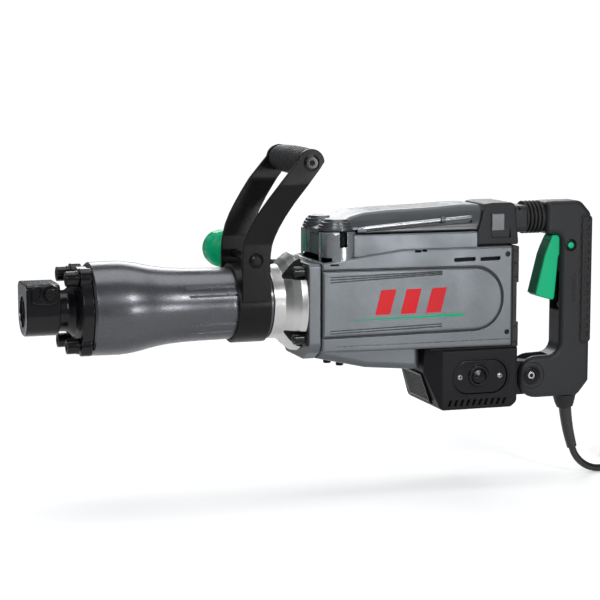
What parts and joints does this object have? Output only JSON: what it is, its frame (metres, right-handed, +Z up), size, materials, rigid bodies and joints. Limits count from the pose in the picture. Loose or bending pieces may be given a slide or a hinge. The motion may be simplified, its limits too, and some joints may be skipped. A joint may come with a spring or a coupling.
{
  "type": "demolition hammer",
  "caption": "Electric demolition hammer with waisted barrel, cast gear housing, swivelling bow side handle, sprung D-handle with paddle trigger, and a rubber mains lead.",
  "frame": {"origin": "centre of the tool socket's mouth, on the hammer's own axis", "axes": "+X from the nose to the rear along the hammer's axis, +Z up towards the side handle and top cover, -Y the operator's left"},
  "size_m": [1.0755, 0.1989, 0.445],
  "materials": {
    "black_steel": "black oxide and black paint, satin",
    "gunmetal_paint": "dark metallic grey paint, satin",
    "cast_grey_paint": "mid grey metallic paint on a casting, satin",
    "dark_grey_paint": "dark grey metallic paint, satin",
    "bare_aluminium": "bare cast and turned aluminium",
    "charcoal_plastic": "fine grained",
    "black_plastic": "satin",
    "black_rubber": "matte",
    "green_plastic": "satin",
    "ground_steel": "ground",
    "copper_winding": "steel laminations with copper windings",
    "brush_carbon": "carbon",
    "cable_rubber": "smooth cable sheath"
  },
  "bodies": {
    "housing": {"tool_retainer": "black_steel", "flange_bolt_1": "black_steel", "flange_bolt_2": "black_steel", "flange_bolt_3": "black_steel", "flange_bolt_4": "black_steel", "neck_bolt_1": "black_steel", "neck_bolt_2": "black_steel", "neck_bolt_3": "black_steel", "neck_bolt_4": "black_steel", "cover_screw_1": "black_steel", "cover_screw_2": "black_steel", "belly_bolt_1": "black_steel", "belly_bolt_2": "black_steel", "barrel": "gunmetal_paint", "front_frame": "cast_grey_paint", "main_housing": "cast_grey_paint", "top_cover": "dark_grey_paint", "gear_neck": "bare_aluminium", "rear_plate": "charcoal_plastic", "handle_bracket": "charcoal_plastic", "damper_collar": "charcoal_plastic", "tail_cover": "charcoal_plastic", "intake_grille": "black_plastic", "brush_cover_left": "black_plastic", "brush_cover_right": "black_plastic", "brush_cap_left": "black_plastic", "brush_cap_right": "black_plastic", "hex_bushing": "ground_steel", "cylinder_liner": "ground_steel", "stator": "copper_winding", "carbon_brush_left": "brush_carbon", "carbon_brush_right": "brush_carbon"},
    "armature": {"armature": "copper_winding", "cooling_fan": "black_plastic"},
    "intermediate": {"intermediate_gear": "ground_steel"},
    "crank": {"crankshaft": "ground_steel", "crank_gear": "ground_steel"},
    "connecting_rod": {"connecting_rod": "ground_steel"},
    "piston": {"piston": "ground_steel"},
    "ram": {"ram": "ground_steel"},
    "anvil": {"anvil": "ground_steel"},
    "retainer_pin": {"retainer_pin": "black_steel"},
    "side_handle": {"handle_bow": "black_steel", "side_grip": "black_rubber", "grip_bolt": "black_steel", "clamp_bolt": "black_steel"},
    "clamp_knob": {"clamp_knob": "green_plastic"},
    "handle": {"d_handle": "charcoal_plastic", "grip_pad": "black_rubber", "pivot_bolt": "ground_steel", "damper_rod": "ground_steel", "damper_bellows": "black_rubber", "power_switch": "black_plastic", "cord_guard": "black_rubber", "power_cord": "cable_rubber", "cord_coil": "cable_rubber", "cord_end": "cable_rubber", "mains_plug": "cable_rubber"},
    "trigger": {"trigger": "green_plastic"},
    "lock_button": {"lock_button": "green_plastic"}
  },
  "joints": [
    {"name": "armature_spin", "type": "hinge", "parent": "housing", "child": "armature", "pos_m": [0.574, 0, 0], "axis": [0, 0, 1], "continuous": true},
    {"name": "intermediate_spin", "type": "hinge", "parent": "housing", "child": "intermediate", "pos_m": [0.541, 0, 0], "axis": [0, 0, 1], "continuous": true},
    {"name": "crank_spin", "type": "hinge", "parent": "housing", "child": "crank", "pos_m": [0.4825, 0, 0], "axis": [0, 0, 1], "continuous": true},
    {"name": "rod_pivot", "type": "hinge", "parent": "crank", "child": "connecting_rod", "pos_m": [0.4705, 0, 0], "axis": [0, 0, 1], "continuous": true},
    {"name": "piston_slide", "type": "slide", "parent": "housing", "child": "piston", "axis": [1, 0, 0], "range_m": [0, 0.024]},
    {"name": "ram_slide", "type": "slide", "parent": "housing", "child": "ram", "axis": [1, 0, 0], "range_m": [-0.006, 0.03]},
    {"name": "anvil_slide", "type": "slide", "parent": "housing", "child": "anvil", "axis": [1, 0, 0], "range_m": [-0.006, 0]},
    {"name": "retainer_turn", "type": "hinge", "parent": "housing", "child": "retainer_pin", "pos_m": [0.027, 0, 0.0245], "axis": [0, -1, 0], "range_deg": [0, 180]},
    {"name": "side_handle_swivel", "type": "hinge", "parent": "housing", "child": "side_handle", "pos_m": [0.28, 0, 0], "axis": [1, 0, 0], "continuous": true},
    {"name": "clamp_knob_turn", "type": "hinge", "parent": "side_handle", "child": "clamp_knob", "pos_m": [0.2795, 0, 0.0575], "axis": [0, 1, 0], "continuous": true},
    {"name": "handle_pivot", "type": "hinge", "parent": "housing", "child": "handle", "pos_m": [0.665, 0, -0.11], "axis": [0, -1, 0], "range_deg": [0, 2.5], "stiffness_Nm_per_rad": 570, "deforming": ["damper_bellows"]},
    {"name": "trigger_pull", "type": "hinge", "parent": "handle", "child": "trigger", "pos_m": [0.7095, 0, 0.069], "axis": [0, -1, 0], "range_deg": [0, 6], "stiffness_Nm_per_rad": 5, "springref_deg": -5.73},
    {"name": "lock_button_press", "type": "slide", "parent": "handle", "child": "lock_button", "axis": [0, 1, 0], "range_m": [0, 0.004], "stiffness_N_per_m": 400, "springref_m": -0.002}
  ],
  "couplings": [
    {"joint": "intermediate_spin", "follows": "armature_spin", "ratio": -0.22222},
    {"joint": "crank_spin", "follows": "armature_spin", "ratio": 0.066667},
    {"joint": "rod_pivot", "follows": "armature_spin", "ratio": -0.066667}
  ]
}
